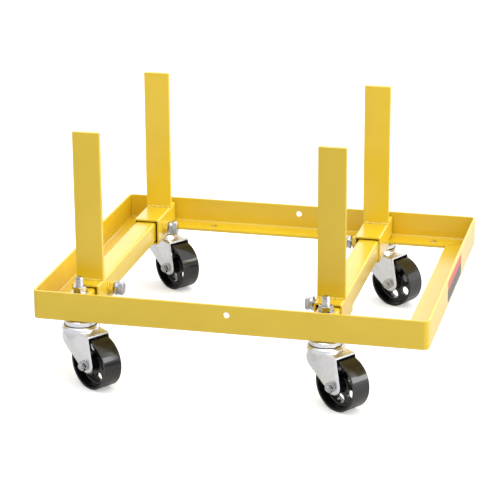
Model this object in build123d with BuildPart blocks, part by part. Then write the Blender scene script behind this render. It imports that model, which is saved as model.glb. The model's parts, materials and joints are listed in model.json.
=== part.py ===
from build123d import *
import os
from math import cos, radians, sin, sqrt

# A four-caster cradle dolly: an angle-iron frame, two square crossbars and four sliding
# sleeves, each with a flat upright and a side clamp bolt. Millimetres, +Z up. The origin is
# on the floor under the centre of the frame; X runs along the long rails, +Y to the back.

# ---- Driving dimensions -------------------------------------------------------------------
# Frame of equal-leg angle, vertical leg outside, flat leg at the bottom pointing inwards.
FRAME_LENGTH = 570.0
FRAME_WIDTH = 480.0
RAIL_BOTTOM = 98.0  # height of the frame's underside, which is the casters' height
ANGLE_LEG = 42.0
ANGLE_WALL = 4.0
CORNER_RADIUS = 9.0  # outer upright corners of the frame
ROOT_RADIUS = 3.5  # inside of the angle
EDGE_RADIUS = 1.2
WINDOW_RADIUS = 3.0  # inner corners of the flat legs
MITRE_GAP = 1.4  # width of each corner weld
WELD_PROUD = 0.5
MID_HOLE_RADIUS = 4.5
MID_HOLE_HEIGHT = 27.5  # above the rail's underside
FREE_HOLE_X = (-137.0, 221.0)  # spare stem holes, mirror images of the ones in use

# Crossbars of square tube, lying on the flat legs of the front and back rails.
BAR_X = {"left": -221.0, "right": 137.0}
BAR_SIZE = 32.0
BAR_WALL = 2.5
BAR_RADIUS = 3.5
BAR_LENGTH = 464.0
STEM_INSET = 23.0  # from a rail's outer face to the caster stems and the free holes

# Sleeves of square tube, free to slide along the crossbars.
SLEEVE_SIZE = 40.0
SLEEVE_WALL = 2.5
SLEEVE_RADIUS = 3.2
SLEEVE_LENGTH = 82.0
SLEEVE_BOTTOM = 0.5  # above the rail's underside
REST_GAP = 0.05  # where a clamped sleeve bears on its crossbar

# Uprights of flat bar, welded to the sleeves.
UPRIGHT_WIDTH = 40.0
UPRIGHT_WALL = 8.0
UPRIGHT_HEIGHT = 220.0
UPRIGHT_EDGE = 0.8
BEAD = 2.5  # leg of the weld beads

# M10 clamp screw through a nut welded to the sleeve's inner side.
CLAMP_FROM_END = 51.0  # from the sleeve's outer end
M10_RADIUS = 5.0
M10_PITCH = 1.5
M10_FLATS = 17.0
CLAMP_NUT_HEIGHT = 8.0
CLAMP_HEAD_GAP = 3.0  # between the welded nut and the washers
FLAT_WASHER_RADIUS = 10.5
FLAT_WASHER_HEIGHT = 2.0
SPRING_WASHER_RADIUS = 9.0
SPRING_WASHER_HEIGHT = 2.5
M10_HEAD_HEIGHT = 6.8
THREAD_FIT = 0.05  # radial clearance of a screw in its nut

# Swivel caster. Its own frame has the swivel axis at the origin, z = 0 at the rail's
# underside, +X towards the wheel and +Y along the axle.
WHEEL_RADIUS = 38.0
TREAD_WIDTH = 30.0
TRAIL = 34.0
AXLE_Z = WHEEL_RADIUS - RAIL_BOTTOM
FORK_INSIDE = 36.0
FORK_WALL = 2.5
FORK_TOP = -10.0
CROWN_RADIUS = 27.0
LEG_END_RADIUS = 13.5
AXLE_RADIUS = 4.0
AXLE_PITCH = 1.25
AXLE_FLATS = 13.0
AXLE_NUT_HEIGHT = 7.5
BUSHING_RADIUS = 6.0
BUSHING_LENGTH = 35.9
RUNNING_FIT = 0.06  # radial clearance of the swivel and of the wheel
STEM_RADIUS = 6.0
STEM_PITCH = 1.75
STEM_FLATS = 18.0
STEM_HOLE_RADIUS = 6.5
STEM_TOP = 59.7
STEM_NUT_HEIGHT = 8.4
STEM_NUT_TURNS = (-8.0, 4.0, 11.0, 20.0)  # degrees each nut stopped at, in STEM_PLACES order
STEM_WASHER_RADIUS = 12.0
STEM_WASHER_HEIGHT = 2.0
BALL_RADIUS = 3.8
BALL_CIRCLE = 17.0
BALLS_PER_RACE = 12
WEB_HOLES = 6
WEB_HOLE_RADIUS = 7.0
WEB_HOLE_CIRCLE = 22.3

# Blank sticker on the right rail.
LABEL_LENGTH = 132.0
LABEL_HEIGHT = 32.0
LABEL_THICKNESS = 0.25
LABEL_Y = 5.0

# Each corner: its crossbar, the end of the frame it is at, where the sleeve's outer end
# rests, how far in from that end the upright stands, and, in degrees, the caster's heading
# and how far its wheel has rolled.
CORNERS = {
    "fl": {"bar": "left", "end": -1, "rest": 197.0, "inset": 22.5, "heading": -34.0, "roll": 50},
    "fr": {"bar": "right", "end": -1, "rest": 197.0, "inset": 22.5, "heading": -34.5, "roll": 28},
    "bl": {"bar": "left", "end": 1, "rest": 197.0, "inset": 3.0, "heading": -36.0, "roll": 20},
    "br": {"bar": "right", "end": 1, "rest": 187.5, "inset": 3.0, "heading": -28.0, "roll": 24},
}

# ---- Values worked out from them ----------------------------------------------------------
STEM_Y = FRAME_WIDTH / 2 - STEM_INSET
BAR_BOTTOM = RAIL_BOTTOM + ANGLE_WALL
BAR_TOP = BAR_BOTTOM + BAR_SIZE
BAR_MIDDLE = BAR_BOTTOM + BAR_SIZE / 2
SLEEVE_TOP = RAIL_BOTTOM + SLEEVE_BOTTOM + SLEEVE_SIZE
SLEEVE_MIDDLE = SLEEVE_TOP - SLEEVE_SIZE / 2
SLEEVE_SHIFT = SLEEVE_SIZE / 2 - SLEEVE_WALL - BAR_SIZE / 2 - REST_GAP
STEM_PLACES = [(x, y) for x in BAR_X.values() for y in (-STEM_Y, STEM_Y)]
SPARE_PLACES = [(x, y) for x in FREE_HOLE_X for y in (-STEM_Y, STEM_Y)]
WASHER_BOTTOM = BAR_TOP - RAIL_BOTTOM
NUT_BOTTOM = WASHER_BOTTOM + STEM_WASHER_HEIGHT
LEG_OUTSIDE = FORK_INSIDE + 2 * FORK_WALL

os.makedirs("parts", exist_ok=True)


# ---- Shared shapes ------------------------------------------------------------------------
def hexagon(flats, height, bore, chamfered_ends=2):
    """A hexagon nut or bolt head on the XY plane, its corners chamfered at 30 degrees."""
    corner = flats / sqrt(3)
    flat = flats / 2 * 0.97
    drop = (corner - flat) * 0.577
    low = drop if chamfered_ends == 2 else 0.0
    low_radius = flat if chamfered_ends == 2 else corner
    with BuildPart() as piece:
        with BuildSketch():
            RegularPolygon(flats / 2, 6, major_radius=False)
        extrude(amount=height)
        with BuildSketch(Plane.XZ):
            with BuildLine():
                Polyline(
                    (0, 0),
                    (low_radius, 0),
                    (corner, max(low, 0.01)),
                    (corner, height - drop),
                    (flat, height),
                    (0, height),
                    close=True,
                )
            make_face()
        revolve(axis=Axis.Z, mode=Mode.INTERSECT)
        if bore:
            with BuildSketch():
                Circle(bore)
            extrude(amount=height, mode=Mode.SUBTRACT)
    return piece.part


def screw_outline(radius, pitch, low, high):
    """Outline points of a screw thread's crests and roots between two heights."""
    turns = int((high - low) / pitch)
    depth = 0.55 * pitch
    points = []
    for turn in range(turns):
        start = low + turn * pitch
        points += [(radius, start), (radius - depth, start + pitch / 2)]
    points.append((radius, low + turns * pitch))
    return points


def square_tube(size, wall, radius, length):
    """Square tube along Y, centred on the origin."""
    with BuildPart() as tube:
        with BuildSketch(Plane.XZ):
            RectangleRounded(size, size, radius)
            inside = size - 2 * wall
            RectangleRounded(inside, inside, max(radius - wall, 0.8), mode=Mode.SUBTRACT)
        extrude(amount=length / 2, both=True)
    return tube.part


# ---- Frame --------------------------------------------------------------------------------
def angle_ring(grow):
    """The whole frame as one ring of angle, its surfaces moved out by grow."""
    reach = 2 * ANGLE_LEG + 2 * grow
    wall = ANGLE_WALL + grow
    with BuildPart() as ring:
        with BuildSketch(Plane.XY.offset(RAIL_BOTTOM)):
            RectangleRounded(FRAME_LENGTH, FRAME_WIDTH, CORNER_RADIUS)
            RectangleRounded(
                FRAME_LENGTH - 2 * wall,
                FRAME_WIDTH - 2 * wall,
                CORNER_RADIUS - ANGLE_WALL,
                mode=Mode.SUBTRACT,
            )
        extrude(amount=ANGLE_LEG)
        with BuildSketch(Plane.XY.offset(RAIL_BOTTOM)):
            RectangleRounded(FRAME_LENGTH, FRAME_WIDTH, CORNER_RADIUS)
            RectangleRounded(
                FRAME_LENGTH - reach, FRAME_WIDTH - reach, WINDOW_RADIUS, mode=Mode.SUBTRACT
            )
        extrude(amount=wall)
        level = RAIL_BOTTOM + wall
        root = [
            edge
            for edge in ring.edges().filter_by_position(Axis.Z, level - 0.01, level + 0.01)
            if abs(edge.center().X) > FRAME_LENGTH / 2 - CORNER_RADIUS
            or abs(edge.center().Y) > FRAME_WIDTH / 2 - CORNER_RADIUS
        ]
        fillet(root, ROOT_RADIUS)
        fillet(ring.edges().group_by(Axis.Z)[-1], EDGE_RADIUS)
        outside = ring.edges().group_by(Axis.Z)[0].sort_by(SortBy.DISTANCE)[-8:]
        fillet(outside, EDGE_RADIUS)
    return ring.part


def rail(name, frame, outline):
    """One rail: the part of the frame inside a mitred outline."""
    with BuildPart() as piece:
        add(frame)
        with BuildSketch(Plane.XY.offset(RAIL_BOTTOM)):
            Polygon(*outline, align=None)
        extrude(amount=ANGLE_LEG, mode=Mode.INTERSECT)
        with BuildSketch(Plane.XY.offset(RAIL_BOTTOM)):
            with Locations(*STEM_PLACES, *SPARE_PLACES):
                Circle(STEM_HOLE_RADIUS)
        extrude(amount=ANGLE_WALL, mode=Mode.SUBTRACT)
        with BuildSketch(Plane.XZ):
            with Locations((0, RAIL_BOTTOM + MID_HOLE_HEIGHT)):
                Circle(MID_HOLE_RADIUS)
        extrude(amount=FRAME_WIDTH / 2, both=True, mode=Mode.SUBTRACT)
    piece.part.label = name
    export_step(piece.part, f"parts/{name}.step")


def frame_rails():
    """Four mitred rails and the welds that join them."""
    frame = angle_ring(0.0)
    half_x = FRAME_LENGTH / 2
    half_y = FRAME_WIDTH / 2
    slack = MITRE_GAP / sqrt(2)
    depth = ANGLE_LEG + CORNER_RADIUS
    for name, side in (("front_rail", -1), ("back_rail", 1)):
        outline = [
            (-half_x + slack, side * half_y),
            (half_x - slack, side * half_y),
            (half_x - slack - depth, side * (half_y - depth)),
            (-half_x + slack + depth, side * (half_y - depth)),
        ]
        rail(name, frame, outline)
    for name, side in (("left_rail", -1), ("right_rail", 1)):
        outline = [
            (side * half_x, -half_y + slack),
            (side * half_x, half_y - slack),
            (side * (half_x - depth), half_y - slack - depth),
            (side * (half_x - depth), -half_y + slack + depth),
        ]
        rail(name, frame, outline)

    with BuildPart() as corner_welds:
        add(angle_ring(WELD_PROUD))
        with BuildSketch(Plane.XY.offset(RAIL_BOTTOM)):
            for x in (-half_x, half_x):
                for y in (-half_y, half_y):
                    turn = 45 if x * y > 0 else -45
                    with Locations(Location((x, y), turn)):
                        Rectangle(4 * depth, MITRE_GAP - 0.02)
        extrude(amount=ANGLE_LEG, mode=Mode.INTERSECT)
    corner_welds.part.label = "corner_welds"
    export_step(corner_welds.part, "parts/corner_welds.step")


def crossbars():
    """Two square tubes with a hole at each end for a caster stem."""
    for side, x in BAR_X.items():
        with BuildPart() as crossbar:
            with Locations((x, 0, BAR_MIDDLE)):
                add(square_tube(BAR_SIZE, BAR_WALL, BAR_RADIUS, BAR_LENGTH))
            with BuildSketch(Plane.XY.offset(BAR_BOTTOM)):
                with Locations((x, -STEM_Y), (x, STEM_Y)):
                    Circle(STEM_HOLE_RADIUS)
            extrude(amount=BAR_SIZE, mode=Mode.SUBTRACT)
        crossbar.part.label = f"{side}_crossbar"
        export_step(crossbar.part, f"parts/{side}_crossbar.step")


def side_label():
    """Blank two-colour sticker on the outside of the right rail."""
    face = Plane(
        origin=(FRAME_LENGTH / 2, LABEL_Y, RAIL_BOTTOM + ANGLE_LEG / 2),
        x_dir=(0, 1, 0),
        z_dir=(1, 0, 0),
    )
    with BuildPart() as sticker:
        with BuildSketch(face):
            RectangleRounded(LABEL_LENGTH, LABEL_HEIGHT, 3.0)
        extrude(amount=LABEL_THICKNESS)
    sticker.part.label = "side_label"
    export_step(sticker.part, "parts/side_label.step")


# ---- Caster stems and their races, fixed to the frame -------------------------------------
def at_each_stem(name, shape, turns=(0.0, 0.0, 0.0, 0.0)):
    """Four of one fixed piece, one on each caster's swivel axis."""
    with BuildPart() as group:
        for (x, y), turn in zip(STEM_PLACES, turns):
            with Locations(Location((x, y, RAIL_BOTTOM), (0, 0, turn))):
                add(shape)
    group.part.label = name
    export_step(group.part, f"parts/{name}.step")


def stem_shape():
    """Headed kingpin: its head is under the crown and its thread stands over the nut."""
    head_height = 7.0
    head_top = FORK_TOP - FORK_WALL - 0.1
    chamfer_size = 1.0
    thread_low = NUT_BOTTOM + STEM_NUT_HEIGHT + 0.3
    thread = screw_outline(STEM_RADIUS, STEM_PITCH, thread_low, STEM_TOP - chamfer_size)
    with BuildPart() as stem:
        with Locations((0, 0, head_top - head_height)):
            add(hexagon(19.0, head_height, 0))
        with BuildSketch(Plane.XZ):
            with BuildLine():
                Polyline(
                    (0, head_top - 1),
                    (STEM_RADIUS, head_top - 1),
                    *thread,
                    (STEM_RADIUS - chamfer_size, STEM_TOP),
                    (0, STEM_TOP),
                    close=True,
                )
            make_face()
        revolve(axis=Axis.Z)
    return stem.part


def race_shape():
    """Pressed upper race: a cap over the ring of balls."""
    with BuildPart() as race:
        with BuildSketch(Plane.XZ):
            with BuildLine():
                Polyline(
                    (STEM_HOLE_RADIUS, 0),
                    (19.5, 0),
                    (23.5, -3.5),
                    (23.5, -9.4),
                    (21.7, -9.4),
                    (21.7, -4.2),
                    (18.8, -2.0),
                    (STEM_HOLE_RADIUS, -2.0),
                    close=True,
                )
            corners = make_face().vertices().sort_by(Axis.X)
            fillet(corners[3:], 0.7)
        revolve(axis=Axis.Z)
    return race.part


def ball_ring():
    """One race's ring of balls."""
    with BuildPart() as ring:
        with Locations((0, 0, -2.1 - BALL_RADIUS)):
            with PolarLocations(BALL_CIRCLE, BALLS_PER_RACE):
                Sphere(BALL_RADIUS)
    return ring.part


def stem_washer():
    """Plain washer between the crossbar and the stem nut."""
    with BuildPart() as washer:
        with BuildSketch(Plane.XY.offset(WASHER_BOTTOM)):
            Circle(STEM_WASHER_RADIUS)
            Circle(STEM_HOLE_RADIUS, mode=Mode.SUBTRACT)
        extrude(amount=STEM_WASHER_HEIGHT)
        fillet(washer.edges().group_by(Axis.Z)[-1].sort_by(SortBy.LENGTH)[-1:], 0.5)
    return washer.part


def stem_nut():
    """M12 nut on the crossbar."""
    with BuildPart() as nut:
        with Locations((0, 0, NUT_BOTTOM)):
            add(hexagon(STEM_FLATS, STEM_NUT_HEIGHT, STEM_RADIUS + THREAD_FIT))
    return nut.part


# ---- Swivel casters -----------------------------------------------------------------------
def fork_shape():
    """Pressed fork: a dished crown with two tapering legs."""
    roof_front = (39.5, FORK_TOP - 7.0)
    brow = (-4.5, -29.0)  # centre of the leading edge's curve
    brow_radius = 15.5
    roof_run = roof_front[0] - brow[0]
    roof_rise = brow[1] + brow_radius - roof_front[1]
    slope = -roof_rise / roof_run  # the roof falls gently towards the front
    bend = 3.5
    hollow_back = -17.5
    hollow_front = 80.0
    hollow_low = -110.0

    def under_roof(x):
        return roof_front[1] + slope * (x - roof_front[0]) - FORK_WALL

    with BuildPart() as fork:
        with BuildSketch(Plane.XZ):
            with BuildLine():
                Line(brow, roof_front)
            with Locations((TRAIL, AXLE_Z)):
                Circle(LEG_END_RADIUS)
            with Locations(brow):
                Circle(brow_radius)
            make_hull()
        extrude(amount=LEG_OUTSIDE / 2, both=True)
        roof_edges = [
            edge
            for edge in fork.edges()
            if edge.geom_type == GeomType.LINE
            and edge.length > LEG_OUTSIDE + 1
            and edge.center().Z > FORK_TOP - 9
        ]
        fillet(roof_edges, bend)
        with BuildSketch(Plane.XZ):
            with BuildLine():
                Polyline(
                    (0, FORK_TOP),
                    (24.2, FORK_TOP),
                    (CROWN_RADIUS, FORK_TOP - 3.5),
                    (CROWN_RADIUS, FORK_TOP - 7),
                    (LEG_OUTSIDE / 2, FORK_TOP - 22),
                    (0, FORK_TOP - 22),
                    close=True,
                )
            dome = make_face().vertices().sort_by(Axis.X)
            fillet(dome.sort_by(Axis.X)[-3:], 2.2)
        revolve(axis=Axis.Z)
        with BuildSketch(Plane.XZ):
            with BuildLine():
                Polyline(
                    (hollow_back, under_roof(hollow_back)),
                    (hollow_front, under_roof(hollow_front)),
                    (hollow_front, hollow_low),
                    (hollow_back, hollow_low),
                    close=True,
                )
            make_face()
        extrude(amount=FORK_INSIDE / 2, both=True, mode=Mode.SUBTRACT)
        with BuildSketch(Plane.XZ):
            with BuildLine():
                Polyline(
                    (0, FORK_TOP - FORK_WALL),
                    (23.0, FORK_TOP - FORK_WALL),
                    (CROWN_RADIUS - FORK_WALL, FORK_TOP - 6),
                    (CROWN_RADIUS - FORK_WALL, FORK_TOP - 8),
                    (FORK_INSIDE / 2, FORK_TOP - 23),
                    (0, FORK_TOP - 23),
                    close=True,
                )
            make_face()
        revolve(axis=Axis.Z, mode=Mode.SUBTRACT)
        with BuildSketch(Plane.XY.offset(FORK_TOP)):
            Circle(STEM_RADIUS + RUNNING_FIT)
        extrude(amount=-2 * FORK_WALL, mode=Mode.SUBTRACT)
        with BuildSketch(Plane.XZ):
            with Locations((TRAIL, AXLE_Z)):
                Circle(AXLE_RADIUS + 0.1)
        extrude(amount=LEG_OUTSIDE, both=True, mode=Mode.SUBTRACT)
    return fork.part


def wheel_shape():
    """Cast wheel about the Y axis: flat tread, dished web with round holes, long hub."""
    half_tread = TREAD_WIDTH / 2
    half_hub = BUSHING_LENGTH / 2 - 0.2
    half_web = 2.4
    rim_edge = WHEEL_RADIUS - 3.2
    rim_root = WHEEL_RADIUS - 5.2
    hub_edge = 10.0
    hub_root = 11.6
    bore = BUSHING_RADIUS + RUNNING_FIT
    with BuildPart() as wheel:
        with BuildSketch():
            with BuildLine():
                Polyline(
                    (bore, -half_hub),
                    (hub_edge, -half_hub),
                    (hub_root, -half_web),
                    (rim_root, -half_web),
                    (rim_edge, -half_tread),
                    (WHEEL_RADIUS, -half_tread),
                    (WHEEL_RADIUS, half_tread),
                    (rim_edge, half_tread),
                    (rim_root, half_web),
                    (hub_root, half_web),
                    (hub_edge, half_hub),
                    (bore, half_hub),
                    close=True,
                )
            points = make_face().vertices()
            inner = [p for p in points if abs(abs(p.Y) - half_web) < 0.1]
            outer = [p for p in points if p.X > rim_edge - 0.1]
            fillet(inner, 2.2)
            fillet(outer, 1.3)
        revolve(axis=Axis.Y)
        with BuildSketch(Plane.XZ):
            with PolarLocations(WEB_HOLE_CIRCLE, WEB_HOLES):
                Circle(WEB_HOLE_RADIUS)
        extrude(amount=half_tread, both=True, mode=Mode.SUBTRACT)
    return wheel.part


def bushing_shape():
    """Plain bushing that the wheel turns on, clamped between the fork's legs."""
    with BuildPart() as bushing:
        with BuildSketch(Plane.XZ):
            Circle(BUSHING_RADIUS)
            Circle(AXLE_RADIUS + 0.1, mode=Mode.SUBTRACT)
        extrude(amount=BUSHING_LENGTH / 2, both=True)
    return bushing.part


def axle_bolt_shape():
    """M8 bolt along Y, its head on the far leg and its end beyond the nut."""
    head_height = 5.3
    nut_end = -LEG_OUTSIDE / 2 - AXLE_NUT_HEIGHT
    thread = [(r, nut_end - z) for r, z in screw_outline(AXLE_RADIUS, AXLE_PITCH, 0.0, 2.5)]
    with BuildPart() as bolt:
        with BuildSketch(Plane.XY):
            with BuildLine():
                Polyline(
                    (0, LEG_OUTSIDE / 2 + 1),
                    (AXLE_RADIUS, LEG_OUTSIDE / 2 + 1),
                    *thread,
                    (AXLE_RADIUS - 0.8, nut_end - 3.3),
                    (0, nut_end - 3.3),
                    close=True,
                )
            make_face()
        revolve(axis=Axis.Y)
        with Locations(Location((0, LEG_OUTSIDE / 2, 0), (-90, 0, 0))):
            add(hexagon(AXLE_FLATS, head_height, 0))
    return bolt.part


def axle_nut_shape():
    """M8 nut on the near leg."""
    with BuildPart() as nut:
        with Locations(Location((0, -LEG_OUTSIDE / 2, 0), (90, 0, 0))):
            add(hexagon(AXLE_FLATS, AXLE_NUT_HEIGHT, AXLE_RADIUS + THREAD_FIT))
    return nut.part


def caster(corner, place, roll):
    """The moving pieces of one caster, put at its stem and turned to its heading."""
    axle = place * Location((TRAIL, 0, AXLE_Z))
    rolled = axle * Location((0, 0, 0), (0, -roll, 0))
    pieces = {
        "fork": (place, fork_shape()),
        "wheel": (rolled, wheel_shape()),
        "hub_bushing": (axle, bushing_shape()),
        "axle_bolt": (axle, axle_bolt_shape()),
        "axle_nut": (axle, axle_nut_shape()),
    }
    for name, (location, shape) in pieces.items():
        with BuildPart() as piece:
            with Locations(location):
                add(shape)
        piece.part.label = f"{name}_{corner}"
        export_step(piece.part, f"parts/{name}_{corner}.step")


# ---- Sliding sleeves ----------------------------------------------------------------------
def carriage(corner, values):
    """One sleeve with its upright, weld beads, welded nut, clamp screw and washers."""
    end = values["end"]
    inward = 1 if values["bar"] == "left" else -1
    x = BAR_X[values["bar"]] + inward * SLEEVE_SHIFT
    outer_y = end * values["rest"]
    middle_y = outer_y - end * SLEEVE_LENGTH / 2
    clamp_y = outer_y - end * CLAMP_FROM_END
    upright_y = outer_y - end * (values["inset"] + UPRIGHT_WALL / 2)
    side_x = x + inward * SLEEVE_SIZE / 2
    side = Plane(origin=(side_x, clamp_y, SLEEVE_MIDDLE), x_dir=(0, 1, 0), z_dir=(inward, 0, 0))

    with BuildPart() as sleeve:
        with Locations((x, middle_y, SLEEVE_MIDDLE)):
            add(square_tube(SLEEVE_SIZE, SLEEVE_WALL, SLEEVE_RADIUS, SLEEVE_LENGTH))
        with BuildSketch(side):
            Circle(M10_RADIUS + THREAD_FIT)
        extrude(amount=-2 * SLEEVE_WALL, mode=Mode.SUBTRACT)
    sleeve.part.label = f"sleeve_{corner}"
    export_step(sleeve.part, f"parts/sleeve_{corner}.step")

    with BuildPart() as upright:
        with BuildSketch(Plane.XY.offset(SLEEVE_TOP)):
            with Locations((x, upright_y)):
                Rectangle(UPRIGHT_WIDTH, UPRIGHT_WALL)
        extrude(amount=UPRIGHT_HEIGHT)
        fillet(upright.edges().filter_by(Axis.Z), UPRIGHT_EDGE)
        fillet(upright.edges().group_by(Axis.Z)[-1], UPRIGHT_EDGE)
    upright.part.label = f"upright_{corner}"
    export_step(upright.part, f"parts/upright_{corner}.step")

    with BuildPart() as welds:
        for way in (-1, 1):
            foot = Plane(
                origin=(x, upright_y + way * UPRIGHT_WALL / 2, SLEEVE_TOP),
                x_dir=(0, way, 0),
                z_dir=(way, 0, 0),
            )
            with BuildSketch(foot):
                with BuildLine():
                    corner_line = Polyline((0, BEAD), (0, 0), (BEAD, 0))
                    ThreePointArc(corner_line @ 1, (0.62 * BEAD, 0.62 * BEAD), corner_line @ 0)
                make_face()
            extrude(amount=UPRIGHT_WIDTH / 2 - 2 * UPRIGHT_EDGE, both=True)
        with BuildSketch(side):
            Circle(M10_FLATS / sqrt(3) + 1.6)
            RegularPolygon(M10_FLATS / 2, 6, major_radius=False, mode=Mode.SUBTRACT)
        extrude(amount=1.8)
        chamfer(welds.faces().sort_by(Axis.X)[-1 if inward > 0 else 0].outer_wire().edges(), 1.2)
    welds.part.label = f"weld_beads_{corner}"
    export_step(welds.part, f"parts/weld_beads_{corner}.step")

    with BuildPart() as clamp_nut:
        with Locations(side.location):
            add(hexagon(M10_FLATS, CLAMP_NUT_HEIGHT, M10_RADIUS + THREAD_FIT))
    clamp_nut.part.label = f"clamp_nut_{corner}"
    export_step(clamp_nut.part, f"parts/clamp_nut_{corner}.step")

    washer_low = CLAMP_NUT_HEIGHT + CLAMP_HEAD_GAP
    washer_high = washer_low + FLAT_WASHER_HEIGHT
    head_low = washer_high + SPRING_WASHER_HEIGHT
    with BuildPart() as washers:
        with BuildSketch(side.offset(washer_low)):
            Circle(FLAT_WASHER_RADIUS)
            Circle(M10_RADIUS + 0.25, mode=Mode.SUBTRACT)
        extrude(amount=FLAT_WASHER_HEIGHT)
        with BuildSketch(side.offset(washer_high)):
            Circle(SPRING_WASHER_RADIUS)
            Circle(M10_RADIUS + 0.25, mode=Mode.SUBTRACT)
            with Locations((0, SPRING_WASHER_RADIUS)):
                Rectangle(1.0, 2 * SPRING_WASHER_RADIUS, rotation=12, mode=Mode.SUBTRACT)
        extrude(amount=SPRING_WASHER_HEIGHT - 0.05)
    washers.part.label = f"clamp_washers_{corner}"
    export_step(washers.part, f"parts/clamp_washers_{corner}.step")

    tip = -(SLEEVE_WALL + 2 * SLEEVE_SHIFT + REST_GAP)
    thread = screw_outline(M10_RADIUS, M10_PITCH, CLAMP_NUT_HEIGHT + 0.2, washer_low - 0.2)
    with BuildPart() as clamp_bolt:
        with BuildSketch(Plane.XZ):
            with BuildLine():
                Polyline(
                    (0, tip),
                    (M10_RADIUS - 1.2, tip),
                    (M10_RADIUS, tip + 1.2),
                    *thread,
                    (M10_RADIUS, head_low + 1),
                    (0, head_low + 1),
                    close=True,
                )
            make_face()
        revolve(axis=Axis.Z)
        with Locations((0, 0, head_low)):
            add(hexagon(M10_FLATS, M10_HEAD_HEIGHT, 0))
    with BuildPart() as placed_bolt:
        with Locations(side.location):
            add(clamp_bolt.part)
    placed_bolt.part.label = f"clamp_bolt_{corner}"
    export_step(placed_bolt.part, f"parts/clamp_bolt_{corner}.step")


frame_rails()
crossbars()
side_label()
at_each_stem("caster_stems", stem_shape())
at_each_stem("stem_washers", stem_washer())
at_each_stem("stem_nuts", stem_nut(), STEM_NUT_TURNS)
at_each_stem("upper_races", race_shape())
at_each_stem("race_balls", ball_ring())
for corner_name, corner_values in CORNERS.items():
    stem_xy = (BAR_X[corner_values["bar"]], corner_values["end"] * STEM_Y, RAIL_BOTTOM)
    stem_place = Location(stem_xy, (0, 0, corner_values["heading"]))
    caster(corner_name, stem_place, corner_values["roll"])
    carriage(corner_name, corner_values)
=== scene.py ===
"""Looks of the four-post cradle dolly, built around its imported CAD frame. Metres, +Z up."""

import json
import math

import bpy
from mathutils import Matrix, Vector


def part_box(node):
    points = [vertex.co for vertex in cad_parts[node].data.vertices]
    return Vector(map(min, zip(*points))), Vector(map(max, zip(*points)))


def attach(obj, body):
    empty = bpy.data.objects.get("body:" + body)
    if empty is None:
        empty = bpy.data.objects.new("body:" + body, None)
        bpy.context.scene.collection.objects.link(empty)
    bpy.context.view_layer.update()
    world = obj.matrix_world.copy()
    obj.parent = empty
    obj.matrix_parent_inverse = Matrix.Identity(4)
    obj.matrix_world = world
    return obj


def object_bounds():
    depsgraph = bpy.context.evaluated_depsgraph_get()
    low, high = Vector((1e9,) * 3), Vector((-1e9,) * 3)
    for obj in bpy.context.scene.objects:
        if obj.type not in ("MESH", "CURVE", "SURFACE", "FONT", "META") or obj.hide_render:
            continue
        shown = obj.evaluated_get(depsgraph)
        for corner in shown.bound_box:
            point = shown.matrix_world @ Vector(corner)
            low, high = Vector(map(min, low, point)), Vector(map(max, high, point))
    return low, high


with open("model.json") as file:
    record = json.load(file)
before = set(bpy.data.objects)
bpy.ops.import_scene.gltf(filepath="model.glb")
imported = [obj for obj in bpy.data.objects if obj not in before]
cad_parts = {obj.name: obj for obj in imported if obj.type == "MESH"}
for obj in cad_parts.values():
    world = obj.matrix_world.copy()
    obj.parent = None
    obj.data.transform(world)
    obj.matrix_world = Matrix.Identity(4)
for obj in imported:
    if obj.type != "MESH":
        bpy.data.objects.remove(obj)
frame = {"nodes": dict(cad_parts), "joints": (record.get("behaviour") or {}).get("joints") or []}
cad_low, cad_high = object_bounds()
nodes = frame["nodes"]
mm = 0.001

# ---- Node trees ---------------------------------------------------------------------------


class NodeTree:
    """A node tree, with short calls for what is built in it here."""

    def __init__(self, tree):
        self.tree = tree

    def join(self, source, target):
        self.tree.links.new(source, target)

    def put(self, value, target):
        """Links a node's output, or sets a plain value."""
        if isinstance(value, bpy.types.NodeSocket):
            self.join(value, target)
        else:
            target.default_value = value

    def fill(self, node, inputs):
        """Sets or links a node's inputs by name, underscores standing for spaces."""
        for name, value in inputs.items():
            self.put(value, node.inputs[name.replace("_", " ")])

    def node(self, kind, settings=None, **inputs):
        """Adds a node, with its settings made before its inputs are filled."""
        node = self.tree.nodes.new(kind)
        for name, value in (settings or {}).items():
            setattr(node, name, value)
        self.fill(node, inputs)
        return node

    def span(self, value, low, high, to_low=0.0, to_high=1.0, easing="LINEAR"):
        """Maps low..high onto to_low..to_high, clamped."""
        node = self.node("ShaderNodeMapRange", {"interpolation_type": easing}, Value=value)
        ends = {"From_Min": low, "From_Max": high, "To_Min": to_low, "To_Max": to_high}
        self.fill(node, ends)
        return node.outputs["Result"]

    def maths(self, operation, first, second):
        node = self.node("ShaderNodeMath", {"operation": operation})
        self.put(first, node.inputs[0])
        self.put(second, node.inputs[1])
        return node.outputs["Value"]

    def camera_ray(self):
        """1 for what the camera sees directly, 0 for light that falls on the object."""
        return self.node("ShaderNodeLightPath").outputs["Is Camera Ray"]


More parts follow.
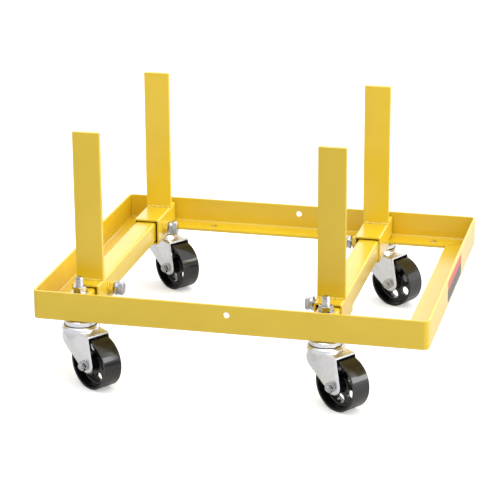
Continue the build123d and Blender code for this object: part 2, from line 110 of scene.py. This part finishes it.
class Shader(NodeTree):
    """A material with one Principled shader, and the patterns that drive it."""

    def __init__(self, name):
        self.material = bpy.data.materials.new(name)
        self.material.use_nodes = True
        super().__init__(self.material.node_tree)
        self.tree.nodes.clear()
        self.surface = self.node("ShaderNodeBsdfPrincipled")
        self.node("ShaderNodeOutputMaterial", Surface=self.surface.outputs["BSDF"])
        self.place = self.node("ShaderNodeTexCoord").outputs["Object"]

    def set(self, **inputs):
        """Sets or links inputs of the Principled shader."""
        self.fill(self.surface, inputs)

    def stretched(self, stretch):
        """Object coordinates, scaled along each axis."""
        if stretch is None:
            return self.place
        node = self.node("ShaderNodeMapping", Vector=self.place, Scale=stretch)
        return node.outputs["Vector"]

    def noise(self, scale, detail=3.0, roughness=0.5, stretch=None):
        """Cloudy pattern between 0 and 1, with scale in cells per metre."""
        sizes = {"Scale": scale, "Detail": detail, "Roughness": roughness}
        node = self.node("ShaderNodeTexNoise", Vector=self.stretched(stretch), **sizes)
        return node.outputs["Fac"]

    def spots(self, scale, reach):
        """1 at scattered points, falling to 0 at reach, a share of the cell size."""
        node = self.node("ShaderNodeTexVoronoi", Vector=self.place, Scale=scale)
        return self.span(node.outputs["Distance"], 0.0, reach, 1.0, 0.0)

    def mix(self, factor, first, second):
        """Blend of two colours."""
        colour = {"data_type": "RGBA"}
        node = self.node("ShaderNodeMix", colour, Factor=factor, A=first, B=second)
        return node.outputs["Result"]

    def rounded(self, radius):
        """Surface normal with every edge rounded off to radius."""
        node = self.node("ShaderNodeBevel", {"samples": 4}, Radius=radius)
        return node.outputs["Normal"]

    def edges(self, radius):
        """0 on flat surfaces, rising to 1 where the surface turns within radius."""
        dot = self.node("ShaderNodeVectorMath", {"operation": "DOT_PRODUCT"})
        self.join(self.rounded(radius), dot.inputs[0])
        self.join(self.node("ShaderNodeNewGeometry").outputs["Normal"], dot.inputs[1])
        return self.span(dot.outputs["Value"], 0.99, 0.80)

    def crevices(self, distance):
        """1 in narrow gaps and inside corners, 0 in the open; the mask for painted shade."""
        node = self.node("ShaderNodeAmbientOcclusion", {"samples": 4}, Distance=distance)
        return self.span(node.outputs["AO"], 0.50, 0.10)

    def bumps(self, layers, edge_radius=0.0):
        """Stacks (height, distance in metres, strength) layers, on softened edges."""
        normal = self.rounded(edge_radius) if edge_radius else None
        for height, distance, strength in layers:
            bump = self.node(
                "ShaderNodeBump", Height=height, Distance=distance, Strength=strength
            )
            if normal is not None:
                self.join(normal, bump.inputs["Normal"])
            normal = bump.outputs["Normal"]
        self.join(normal, self.surface.inputs["Normal"])


# ---- Materials ----------------------------------------------------------------------------
# Colours are linear red, green, blue and alpha.


def grey(level):
    return (level, level, level, 1.0)


def yellow_paint(name, tone=1.0, bead=False):
    """Glossy sprayed enamel: orange peel, uneven film, thin and worn at the edges, with painted
    shade in gaps and corners.
    """

    def yellow(red, green, blue):
        """Tone paints light and shade into the coat; a darker tone is also a deeper yellow, so
        its blue falls faster.
        """
        return (red * tone, green * tone, blue * tone**3, 1.0)

    primer = (0.90, 0.70, 0.20, 1.0)
    speck = (0.42, 0.27, 0.03, 1.0)
    # Colour of the painted shade in gaps and corners.
    painted_shade = (0.16, 0.085, 0.010, 1.0)

    paint = Shader(name)
    film = paint.noise(9.0, 4.0, 0.6)
    tint = paint.mix(
        paint.span(film, 0.35, 0.68), yellow(0.785, 0.538, 0.012), yellow(0.825, 0.578, 0.020)
    )
    chipped = paint.span(paint.noise(260.0, 5.0, 0.7), 0.42, 0.62)
    worn = paint.maths("MULTIPLY", paint.edges(1.1 * mm), chipped)
    tint = paint.mix(paint.maths("MULTIPLY", worn, 0.55), tint, primer)
    dusty = paint.span(paint.noise(35.0), 0.58, 0.66)
    specks = paint.maths("MULTIPLY", paint.spots(420.0, 0.16), dusty)
    tint = paint.mix(paint.maths("MULTIPLY", specks, 0.35), tint, speck)
    # Painted shade: the coat darkens in narrow gaps, inside corners and between parts.
    tint = paint.mix(paint.maths("MULTIPLY", paint.crevices(5 * mm), 0.75), tint, painted_shade)

    orange_peel = (paint.noise(620.0, 2.0, 0.5), 0.05 * mm, 0.35)
    sags = (paint.noise(60.0, 3.0, 0.5), 0.25 * mm, 0.35)
    layers = [orange_peel, sags]
    if bead:
        layers.append((paint.noise(900.0, 3.0, 0.6), 0.2 * mm, 0.6))
    paint.bumps(layers, 0.5 * mm)
    paint.set(
        Base_Color=tint,
        Roughness=paint.span(paint.noise(24.0, 4.0), 0.3, 0.7, 0.30, 0.42),
        Coat_Weight=0.8,
        Coat_Roughness=paint.span(film, 0.3, 0.7, 0.14, 0.24),
        Specular_IOR_Level=0.6,
    )
    return paint.material


def zinc_plate(name, tone, smoothest, roughest, streak=(1.0, 1.0, 0.10)):
    """Bright zinc plate: faint blue and straw tints, fine scratches, satin gloss, and painted
    shade in gaps and corners.
    """
    cool = (0.955 * tone, 0.965 * tone, 1.03 * tone, 1.0)
    warm = (0.99 * tone, 0.985 * tone, 0.985 * tone, 1.0)
    stain = (0.34, 0.33, 0.31, 1.0)
    polished = (0.93, 0.94, 0.96, 1.0)
    # Colour of the painted shade in gaps and corners.
    painted_shade = (0.06, 0.055, 0.05, 1.0)

    zinc = Shader(name)
    cloud = zinc.noise(26.0, 3.0, 0.5)
    tint = zinc.mix(zinc.span(cloud, 0.35, 0.65), cool, warm)
    stained = zinc.span(zinc.noise(190.0, 5.0, 0.65), 0.64, 0.78)
    tint = zinc.mix(zinc.maths("MULTIPLY", stained, 0.30), tint, stain)
    rubbed = zinc.span(cloud, 0.3, 0.6, 0.15, 0.5)
    tint = zinc.mix(zinc.maths("MULTIPLY", zinc.edges(0.8 * mm), rubbed), tint, polished)
    # Painted shade: the plate darkens in threads, narrow gaps and between parts.
    tint = zinc.mix(zinc.maths("MULTIPLY", zinc.crevices(4 * mm), 0.85), tint, painted_shade)

    scratches = (zinc.noise(420.0, 2.0, 0.5, streak), 0.02 * mm, 0.20)
    waves = (zinc.noise(38.0, 2.0), 0.25 * mm, 0.10)
    zinc.bumps([scratches, waves], 0.35 * mm)
    zinc.set(
        Base_Color=tint,
        Metallic=1.0,
        Roughness=zinc.span(zinc.noise(60.0, 4.0, 0.55), 0.3, 0.7, smoothest, roughest),
    )
    return zinc.material


def black_enamel(name):
    """Glossy black paint over cast metal, dusty, and scuffed at the edges."""
    clean = (0.0035, 0.0034, 0.0040, 1.0)
    dusted = (0.011, 0.011, 0.013, 1.0)
    scuff = (0.09, 0.09, 0.095, 1.0)

    black = Shader(name)
    dust = black.span(black.noise(70.0, 5.0, 0.7), 0.52, 0.78)
    chipped = black.span(black.noise(300.0, 4.0), 0.45, 0.62)
    scuffed = black.maths("MULTIPLY", black.edges(0.9 * mm), chipped)
    tint = black.mix(dust, clean, dusted)
    tint = black.mix(black.maths("MULTIPLY", scuffed, 0.4), tint, scuff)

    cast_grain = (black.noise(260.0, 4.0, 0.6), 0.04 * mm, 0.15)
    waves = (black.noise(42.0, 2.0), 0.3 * mm, 0.15)
    black.bumps([cast_grain, waves], 0.7 * mm)
    black.set(
        Base_Color=tint,
        Roughness=black.span(dust, 0.0, 1.0, 0.30, 0.45),
        Specular_IOR_Level=0.25,
        Coat_Weight=0.9,
        Coat_Roughness=black.span(dust, 0.0, 1.0, 0.06, 0.14),
        Coat_IOR=1.55,
    )
    return black.material


def painted_gap_shade(name):
    """Painted shade: a dark ring standing for the shade in the gap under a ball race, shinier
    where it is darker.
    """
    # Colours of the painted shade ring, darkest first.
    thick = (0.010, 0.008, 0.006, 1.0)
    thin = (0.030, 0.024, 0.018, 1.0)

    gap_shade = Shader(name)
    lumps = gap_shade.noise(420.0, 4.0, 0.6)
    gap_shade.bumps([(lumps, 0.25 * mm, 0.5)])
    gap_shade.set(
        Base_Color=gap_shade.mix(lumps, thick, thin),
        Roughness=gap_shade.span(lumps, 0.3, 0.7, 0.25, 0.5),
    )
    return gap_shade.material


def blank_label(name, node):
    """Printed vinyl with a red band over a dark panel and no lettering."""
    band_share = 0.42  # of the label's height
    blur = 0.01
    low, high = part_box(node)
    height = high.z - low.z

    vinyl = Shader(name)
    z = vinyl.node("ShaderNodeSeparateXYZ", Vector=vinyl.place).outputs["Z"]
    band_low = high.z - (band_share + blur) * height
    band_high = high.z - (band_share - blur) * height
    ink = vinyl.noise(700.0, 2.0)
    red = vinyl.mix(ink, (0.58, 0.070, 0.050, 1.0), (0.66, 0.110, 0.085, 1.0))
    dark = vinyl.mix(ink, (0.055, 0.055, 0.060, 1.0), (0.085, 0.085, 0.090, 1.0))
    vinyl.bumps([(vinyl.noise(220.0, 3.0), 0.04 * mm, 0.4)])
    vinyl.set(
        Base_Color=vinyl.mix(vinyl.span(z, band_low, band_high), dark, red),
        Roughness=vinyl.span(ink, 0.3, 0.7, 0.30, 0.42),
    )
    return vinyl.material


def studio_paper(name):
    """White paper that looks bright to the camera and throws less light on the object."""
    paper = Shader(name)
    seen = paper.mix(paper.noise(3.0), grey(0.92), grey(0.95))
    paper.set(
        Base_Color=paper.mix(paper.camera_ray(), grey(0.55), seen),
        Roughness=0.9,
        Emission_Color=grey(1.0),
        Emission_Strength=paper.maths("MULTIPLY", paper.camera_ray(), 0.30),
    )
    return paper.material


PLAIN_COAT = yellow_paint("yellow_enamel")
FINISHES = [
    # Painted light and shade: lit and shaded copies of the plain coat, lighter on the rear
    # uprights and darker on the front right one.
    (yellow_paint("yellow_enamel_painted_light", tone=1.10), ("upright_bl", "upright_br")),
    (yellow_paint("yellow_enamel_painted_shade", tone=0.92), ("upright_fr",)),
    (yellow_paint("yellow_enamel_on_weld", bead=True), ("corner_welds", "weld_beads")),
    (zinc_plate("zinc_pressed_sheet", 0.96, 0.24, 0.34), ("fork", "upper_races")),
    (
        zinc_plate("zinc_fastener", 0.60, 0.10, 0.20, streak=(1.0, 1.0, 1.0)),
        ("axle", "caster_stems", "clamp_bolt", "clamp_washers", "stem_nuts", "stem_washers"),
    ),
    (zinc_plate("turned_steel", 0.62, 0.28, 0.40), ("hub_bushing", "race_balls")),
    (black_enamel("black_wheel_enamel"), ("wheel",)),
    (blank_label("label_vinyl", "side_label"), ("side_label",)),
]


def finish_of(node):
    """The material of a CAD node, by how its name starts; the plain coat if not listed."""
    for material, starts in FINISHES:
        if node.startswith(starts):
            return material
    return PLAIN_COAT


# ---- Surfaces of the CAD nodes ------------------------------------------------------------


def smoothing_group(crease):
    """Node group that joins split corners and shades smooth across turns below crease."""
    tree = bpy.data.node_groups.new("smooth_by_crease", "GeometryNodeTree")
    for way in ("INPUT", "OUTPUT"):
        tree.interface.new_socket("Geometry", in_out=way, socket_type="NodeSocketGeometry")
    group = NodeTree(tree)
    mesh = group.node("NodeGroupInput").outputs["Geometry"]
    merged = group.node("GeometryNodeMergeByDistance", Geometry=mesh, Distance=0.002 * mm)
    turn = group.node("GeometryNodeInputMeshEdgeAngle").outputs["Unsigned Angle"]
    sharp = group.node("FunctionNodeCompare", {"operation": "GREATER_THAN"}, A=turn, B=crease)
    shaded = group.node(
        "GeometryNodeSetMeshNormal",
        {"mode": "SHARPNESS"},
        Mesh=merged.outputs["Geometry"],
        Edge_Sharpness=sharp.outputs["Result"],
    )
    group.node("NodeGroupOutput", Geometry=shaded.outputs["Mesh"])
    return tree


def ripple(item, texture, grain, depth):
    """Turns a plain weld bead into an uneven, rippled one."""
    remesh = item.modifiers.new("even_grain", "REMESH")
    remesh.mode = "VOXEL"
    remesh.voxel_size = grain
    remesh.use_smooth_shade = True
    waves = item.modifiers.new("ripple", "DISPLACE")
    waves.texture = texture
    waves.texture_coords = "LOCAL"
    waves.mid_level = 0.5
    waves.strength = depth


smooth_by_crease = smoothing_group(math.radians(28.0))
bead_waves = bpy.data.textures.new("bead_waves", "CLOUDS")
bead_waves.noise_scale = 3.2 * mm
bead_waves.noise_depth = 1

for name, item in nodes.items():
    item.data.materials.clear()
    item.data.materials.append(finish_of(name))
    if name.startswith("weld_beads"):
        ripple(item, bead_waves, grain=0.5 * mm, depth=1.4 * mm)
    else:
        item.modifiers.new("smooth", "NODES").node_group = smooth_by_crease

# ---- Painted shade under the caster races -------------------------------------------------


def show(name, data, location):
    """Adds mesh, lamp or camera data to the scene as an object."""
    item = bpy.data.objects.new(name, data)
    item.location = location
    bpy.context.scene.collection.objects.link(item)
    return item


def revolved(name, profile, steps, centre):
    """Closed (radius, height) profile turned about the vertical through centre."""
    count = len(profile)
    points = []
    faces = []
    for step in range(steps):
        turn = 2 * math.pi * step / steps
        points += [(r * math.cos(turn), r * math.sin(turn), z) for r, z in profile]
        here = step * count
        ahead = (step + 1) % steps * count
        for side in range(count):
            following = (side + 1) % count
            faces.append((here + side, ahead + side, ahead + following, here + following))
    mesh = bpy.data.meshes.new(name)
    mesh.from_pydata(points, [], faces)
    mesh.shade_smooth()
    return show(name, mesh, centre)


# Painted shade: a dark ring under the rim of each upper race, standing for the shade in the gap
# there.
BEAD_RADIUS = 23.1 * mm
BEAD_SIZE = 1.0 * mm
BEAD_DROP = 9.75 * mm  # below the rail's underside
BEAD_SECTION = (  # across and up, in bead sizes
    (-1.0, -0.6),
    (0.3, -0.8),
    (0.95, -0.55),
    (1.1, 0.0),
    (0.8, 0.55),
    (0.2, 0.8),
    (-1.0, 0.6),
)
gap_shade = painted_gap_shade("painted_gap_shade")
bead_profile = [
    (BEAD_RADIUS + BEAD_SIZE * across, BEAD_SIZE * up) for across, up in BEAD_SECTION
]
bead_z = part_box("upper_races")[1].z - BEAD_DROP
for joint in frame["joints"]:
    if joint["name"].startswith("swivel"):
        x, y = joint["pos_m"][:2]
        corner = joint["name"][-2:]
        # One painted shade ring for each caster, carried by its swivel.
        bead = revolved(f"race_gap_shade_{corner}", bead_profile, 72, (x, y, bead_z))
        bead.data.materials.append(gap_shade)
        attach(bead, joint["child"])

# ---- Floor and light ----------------------------------------------------------------------
FLOOR_SIZE = 60.0

bpy.context.scene.view_settings.view_transform = "Standard"


def square(name, size, location):
    """Flat square face, centred on location."""
    half = size / 2
    corners = [(-half, -half, 0), (half, -half, 0), (half, half, 0), (-half, half, 0)]
    mesh = bpy.data.meshes.new(name)
    mesh.from_pydata(corners, [], [(0, 1, 2, 3)])
    return show(name, mesh, location)


floor = square("studio_floor", FLOOR_SIZE, (0, 0, cad_low.z))
floor.data.materials.append(studio_paper("studio_paper"))


def studio_world(base, right, top, back, front):
    """White to the camera; to the object, a room of base brightness plus each side's own."""
    world = bpy.data.worlds.new("studio")
    bpy.context.scene.world = world
    world.use_nodes = True
    room = NodeTree(world.node_tree)
    facing = room.node("ShaderNodeTexCoord").outputs["Generated"]
    axes = room.node("ShaderNodeSeparateXYZ", Vector=facing).outputs
    light = base
    for axis, start, end, strength in (
        ("X", 0.1, 0.9, right),
        ("Z", 0.15, 0.95, top),
        ("Y", 0.25, 0.90, back),
        ("Y", -0.4, -0.95, front),
    ):
        side = room.span(axes[axis], start, end, 0.0, strength, "SMOOTHSTEP")
        light = room.maths("ADD", side, light)
    seen = room.node("ShaderNodeMix", Factor=room.camera_ray(), A=light, B=1.0)
    background = world.node_tree.nodes["Background"]
    room.fill(background, {"Color": grey(1.0), "Strength": seen.outputs["Result"]})


studio_world(base=0.60, right=0.60, top=0.35, back=0.75, front=-0.20)


def softbox(name, location, target, size, power):
    """Rectangular lamp, turned to face target; size in metres, power in watts."""
    lamp = bpy.data.lights.new(name, "AREA")
    lamp.shape = "RECTANGLE"
    lamp.size, lamp.size_y = size
    lamp.energy = power
    item = show(name, lamp, location)
    aim = Vector(target) - Vector(location)
    item.rotation_euler = aim.to_track_quat("-Z", "Y").to_euler()


middle = (cad_low + cad_high) / 2
softbox("key_overhead", (0.5, -0.4, 3.0), middle, size=(3.6, 3.6), power=44)
softbox("side_right", (3.0, -0.9, 1.6), middle, size=(1.4, 1.8), power=18)
softbox("kicker_right", (3.0, 0.15, 1.0), middle, size=(1.3, 1.0), power=18)

# ---- Camera -------------------------------------------------------------------------------
# In front of the dolly, a little to its right and above, looking down and to the left.
CAMERA_PLACE = (0.6598, -2.8104, 1.1210)
CAMERA_TURN = 13.67  # degrees to the left
CAMERA_DOWN = 18.72  # degrees below level
CAMERA_ROLL = -0.28  # degrees
SENSOR_WIDTH = 36.0  # millimetres, as is the focal length
FOCAL_LENGTH = 146.5

camera_data = bpy.data.cameras.new("camera")
camera_data.lens = FOCAL_LENGTH
camera_data.sensor_width = SENSOR_WIDTH
camera = show("camera", camera_data, CAMERA_PLACE)
turn = Matrix.Rotation(math.radians(CAMERA_TURN), 3, "Z")
tilt = Matrix.Rotation(math.radians(90 - CAMERA_DOWN), 3, "X")
roll = Matrix.Rotation(math.radians(CAMERA_ROLL), 3, "Z")
camera.rotation_euler = (turn @ tilt @ roll).to_euler()
bpy.context.scene.camera = camera
